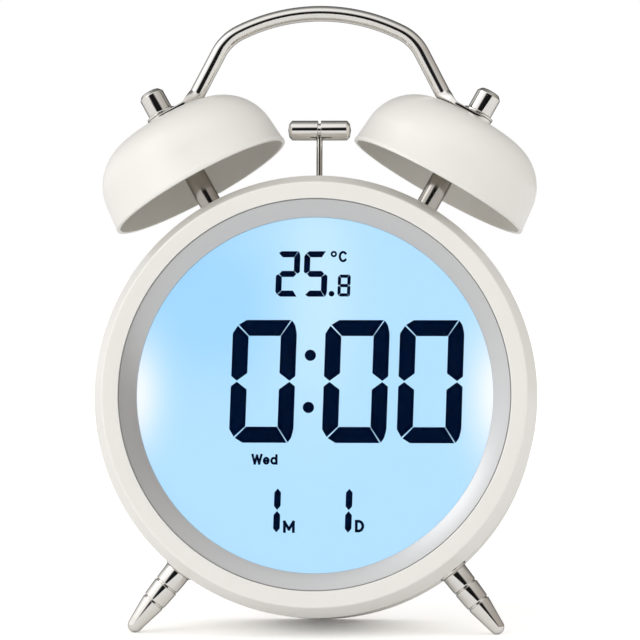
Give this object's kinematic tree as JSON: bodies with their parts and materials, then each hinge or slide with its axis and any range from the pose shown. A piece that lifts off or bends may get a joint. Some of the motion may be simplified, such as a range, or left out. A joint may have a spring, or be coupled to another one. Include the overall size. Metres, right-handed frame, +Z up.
{
  "type": "twin-bell alarm clock",
  "caption": "Round twin-bell alarm clock with a backlit digital display, a carrying handle, a motor-driven bell hammer and two turned feet.",
  "frame": {"origin": "on the floor under the middle of the clock's bounding box", "axes": "+Z up, display faces -Y and leans back, +X to the clock's right as seen from the front"},
  "size_m": [0.118, 0.0626, 0.1687],
  "materials": {
    "white_paint": "gloss",
    "white_bezel": "gloss",
    "grey_ring": "satin",
    "clear_lens": "gloss",
    "lcd_glass": "gloss",
    "diffuser": "satin",
    "led": "gloss",
    "elastomer": "matte",
    "tray_plastic": "matte",
    "circuit_board": "satin",
    "black_parts": "matte",
    "can_metal": "satin",
    "plug_plastic": "matte",
    "zinc_screw": "satin",
    "chrome": "polished",
    "handle_steel": "polished",
    "rod_steel": "satin",
    "bracket_steel": "satin",
    "gear_plastic": "satin",
    "pinion_brass": "satin",
    "cover_plastic": "satin",
    "key_plastic": "satin",
    "cell_wrap": "gloss"
  },
  "bodies": {
    "case": {"backlight_leds": "led", "battery_cells": "cell_wrap", "bell_studs": "zinc_screw", "board_capacitors": "can_metal", "board_plugs": "plug_plastic", "board_screws": "zinc_screw", "cap_nuts": "chrome", "cap_washers": "chrome", "case_drum": "white_paint", "clock_crystal": "can_metal", "contact_plates": "bracket_steel", "contact_springs": "rod_steel", "control_chip": "black_parts", "cover_screws": "zinc_screw", "dial_ring": "grey_ring", "display_frame": "tray_plastic", "display_screws": "zinc_screw", "foot_collars": "chrome", "foot_screws": "zinc_screw", "front_bezel": "white_bezel", "front_lens": "clear_lens", "gear_shaft": "rod_steel", "hammer_bracket": "bracket_steel", "hammer_motor": "can_metal", "hammer_pivot_pin": "rod_steel", "handle": "handle_steel", "key_board": "circuit_board", "key_board_screws": "zinc_screw", "lcd_panel": "lcd_glass", "left_bell": "white_paint", "left_bell_post": "chrome", "left_foot": "chrome", "light_guide": "diffuser", "main_board": "circuit_board", "motor_screws": "zinc_screw", "post_screws": "zinc_screw", "post_washers": "chrome", "rear_cover": "cover_plastic", "right_bell": "white_paint", "right_bell_post": "chrome", "right_foot": "chrome", "slide_switch": "black_parts", "tact_switches": "black_parts", "temperature_sensor": "black_parts", "zebra_connector": "elastomer"},
    "hammer": {"hammer_lever": "gear_plastic", "hammer_rod": "rod_steel", "hammer_head": "chrome"},
    "crank": {"crank_gear": "gear_plastic"},
    "rotor": {"motor_shaft": "rod_steel", "motor_pinion": "pinion_brass"},
    "battery_door": {"battery_door": "cover_plastic"},
    "alarm_slider": {"alarm_slider": "key_plastic"},
    "mode_key": {"mode_key": "key_plastic"},
    "set_key": {"set_key": "key_plastic"},
    "light_key": {"light_key": "key_plastic"},
    "up_key": {"up_key": "key_plastic"},
    "down_key": {"down_key": "key_plastic"}
  },
  "joints": [
    {"name": "hammer_swing", "type": "hinge", "parent": "case", "child": "hammer", "pos_m": [0, 0.00323, 0.10129], "axis": [0, 0.9925, -0.1219], "range_deg": [-1.9, 1.9]},
    {"name": "crank_spin", "type": "hinge", "parent": "case", "child": "crank", "pos_m": [0, 0.00351, 0.08715], "axis": [0, 0.9925, -0.1219], "continuous": true},
    {"name": "rotor_spin", "type": "hinge", "parent": "case", "child": "rotor", "pos_m": [0, 0.00211, 0.07574], "axis": [0, 0.9925, -0.1219], "continuous": true},
    {"name": "door_hinge", "type": "hinge", "parent": "case", "child": "battery_door", "pos_m": [0, 0.0169, 0.02385], "axis": [-1, 0, 0], "range_deg": [0, 85]},
    {"name": "alarm_slide", "type": "slide", "parent": "case", "child": "alarm_slider", "axis": [1, 0, 0], "range_m": [0, 0.002]},
    {"name": "mode_key_press", "type": "slide", "parent": "case", "child": "mode_key", "axis": [0, -0.9925, 0.1219], "range_m": [0, 0.0006], "stiffness_N_per_m": 800},
    {"name": "set_key_press", "type": "slide", "parent": "case", "child": "set_key", "axis": [0, -0.9925, 0.1219], "range_m": [0, 0.0006], "stiffness_N_per_m": 800},
    {"name": "light_key_press", "type": "slide", "parent": "case", "child": "light_key", "axis": [0, -0.9925, 0.1219], "range_m": [0, 0.0006], "stiffness_N_per_m": 800},
    {"name": "up_key_press", "type": "slide", "parent": "case", "child": "up_key", "axis": [0, -0.9925, 0.1219], "range_m": [0, 0.0006], "stiffness_N_per_m": 800},
    {"name": "down_key_press", "type": "slide", "parent": "case", "child": "down_key", "axis": [0, -0.9925, 0.1219], "range_m": [0, 0.0006], "stiffness_N_per_m": 800}
  ],
  "couplings": [
    {"joint": "rotor_spin", "follows": "crank_spin", "ratio": -3.6}
  ]
}
